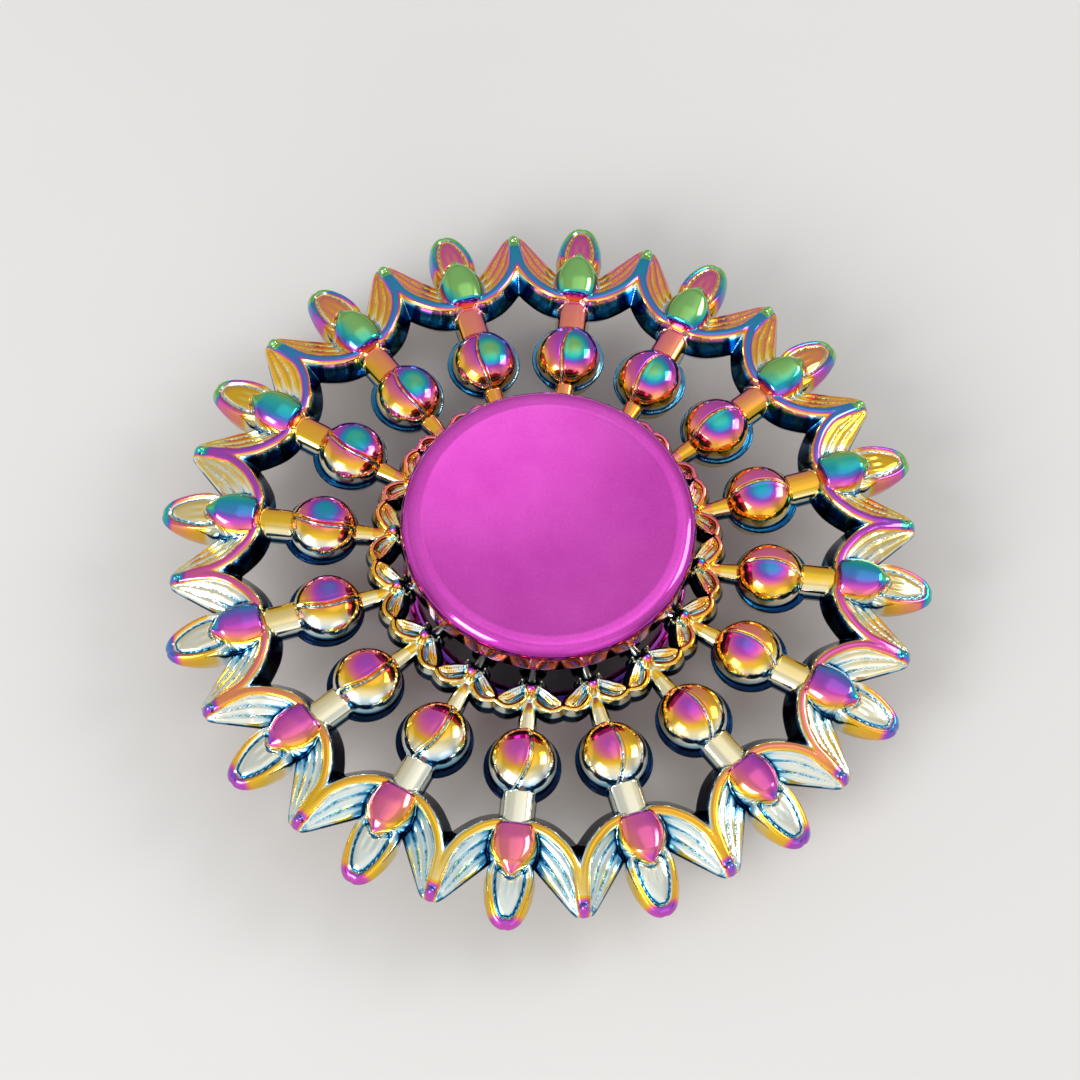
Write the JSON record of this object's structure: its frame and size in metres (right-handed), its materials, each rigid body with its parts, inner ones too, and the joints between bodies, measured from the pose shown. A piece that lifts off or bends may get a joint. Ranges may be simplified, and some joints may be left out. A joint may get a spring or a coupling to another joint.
{
  "type": "fidget spinner",
  "caption": "Mandala-style metal hand spinner: lotus-petal rotor on a shielded ball bearing, with a dished finger cap on each face.",
  "frame": {"origin": "centre of the ball bearing, which is the centre of the whole spinner", "axes": "+Z along the spin axis, out through the top cap; +X along one spoke of the rotor; the rotor is the same above and below the XY plane"},
  "size_m": [0.0708, 0.0708, 0.0156],
  "materials": {
    "rainbow_plated_zinc": "die-cast zinc with a polished rainbow interference plating, from teal and magenta on top to gold, pale and deep blue on the sides",
    "anodised_cap": "magenta anodised aluminium, mirror-polished edge and a soft satin dish",
    "bearing_steel": "ground and polished bearing steel",
    "ball_steel": "mirror-lapped chrome steel",
    "cage_steel": "pressed steel strip, lightly burnished",
    "rivet_steel": "upset rivet heads, bright",
    "shield_steel": "pressed sheet steel, fine circular brushing",
    "spring_steel": "tempered spring steel, slightly darker"
  },
  "bodies": {
    "grip": {"top_cap": "anodised_cap", "bottom_cap": "anodised_cap", "bearing_inner_race": "bearing_steel"},
    "rotor": {"rotor_hub_ring": "rainbow_plated_zinc", "rotor_lace_ring": "rainbow_plated_zinc", "rotor_spoke_buds": "rainbow_plated_zinc", "rotor_lotus_rim": "rainbow_plated_zinc", "bearing_outer_race": "bearing_steel", "top_shield": "shield_steel", "bottom_shield": "shield_steel", "top_shield_snap_ring": "spring_steel", "bottom_shield_snap_ring": "spring_steel"},
    "cage": {"cage_upper_half": "cage_steel", "cage_lower_half": "cage_steel", "cage_rivets": "rivet_steel"},
    "ball_1": {"bearing_ball_1": "ball_steel"},
    "ball_2": {"bearing_ball_2": "ball_steel"},
    "ball_3": {"bearing_ball_3": "ball_steel"},
    "ball_4": {"bearing_ball_4": "ball_steel"},
    "ball_5": {"bearing_ball_5": "ball_steel"},
    "ball_6": {"bearing_ball_6": "ball_steel"},
    "ball_7": {"bearing_ball_7": "ball_steel"}
  },
  "joints": [
    {"name": "rotor_spin", "type": "hinge", "parent": "grip", "child": "rotor", "pos_m": [0, 0, 0], "axis": [0, 0, 1], "continuous": true},
    {"name": "cage_orbit", "type": "hinge", "parent": "grip", "child": "cage", "pos_m": [0, 0, 0], "axis": [0, 0, 1], "continuous": true},
    {"name": "ball_1_spin", "type": "hinge", "parent": "cage", "child": "ball_1", "pos_m": [0.0075, 0, 0], "axis": [0, 0, 1], "continuous": true},
    {"name": "ball_2_spin", "type": "hinge", "parent": "cage", "child": "ball_2", "pos_m": [0.00468, 0.00586, 0], "axis": [0, 0, 1], "continuous": true},
    {"name": "ball_3_spin", "type": "hinge", "parent": "cage", "child": "ball_3", "pos_m": [-0.00167, 0.00731, 0], "axis": [0, 0, 1], "continuous": true},
    {"name": "ball_4_spin", "type": "hinge", "parent": "cage", "child": "ball_4", "pos_m": [-0.00676, 0.00325, 0], "axis": [0, 0, 1], "continuous": true},
    {"name": "ball_5_spin", "type": "hinge", "parent": "cage", "child": "ball_5", "pos_m": [-0.00676, -0.00325, 0], "axis": [0, 0, 1], "continuous": true},
    {"name": "ball_6_spin", "type": "hinge", "parent": "cage", "child": "ball_6", "pos_m": [-0.00167, -0.00731, 0], "axis": [0, 0, 1], "continuous": true},
    {"name": "ball_7_spin", "type": "hinge", "parent": "cage", "child": "ball_7", "pos_m": [0.00468, -0.00586, 0], "axis": [0, 0, 1], "continuous": true}
  ],
  "couplings": [
    {"joint": "cage_orbit", "follows": "rotor_spin", "ratio": 0.6323},
    {"joint": "ball_1_spin", "follows": "rotor_spin", "ratio": 1.7573},
    {"joint": "ball_2_spin", "follows": "rotor_spin", "ratio": 1.7573},
    {"joint": "ball_3_spin", "follows": "rotor_spin", "ratio": 1.7573},
    {"joint": "ball_4_spin", "follows": "rotor_spin", "ratio": 1.7573},
    {"joint": "ball_5_spin", "follows": "rotor_spin", "ratio": 1.7573},
    {"joint": "ball_6_spin", "follows": "rotor_spin", "ratio": 1.7573},
    {"joint": "ball_7_spin", "follows": "rotor_spin", "ratio": 1.7573}
  ]
}
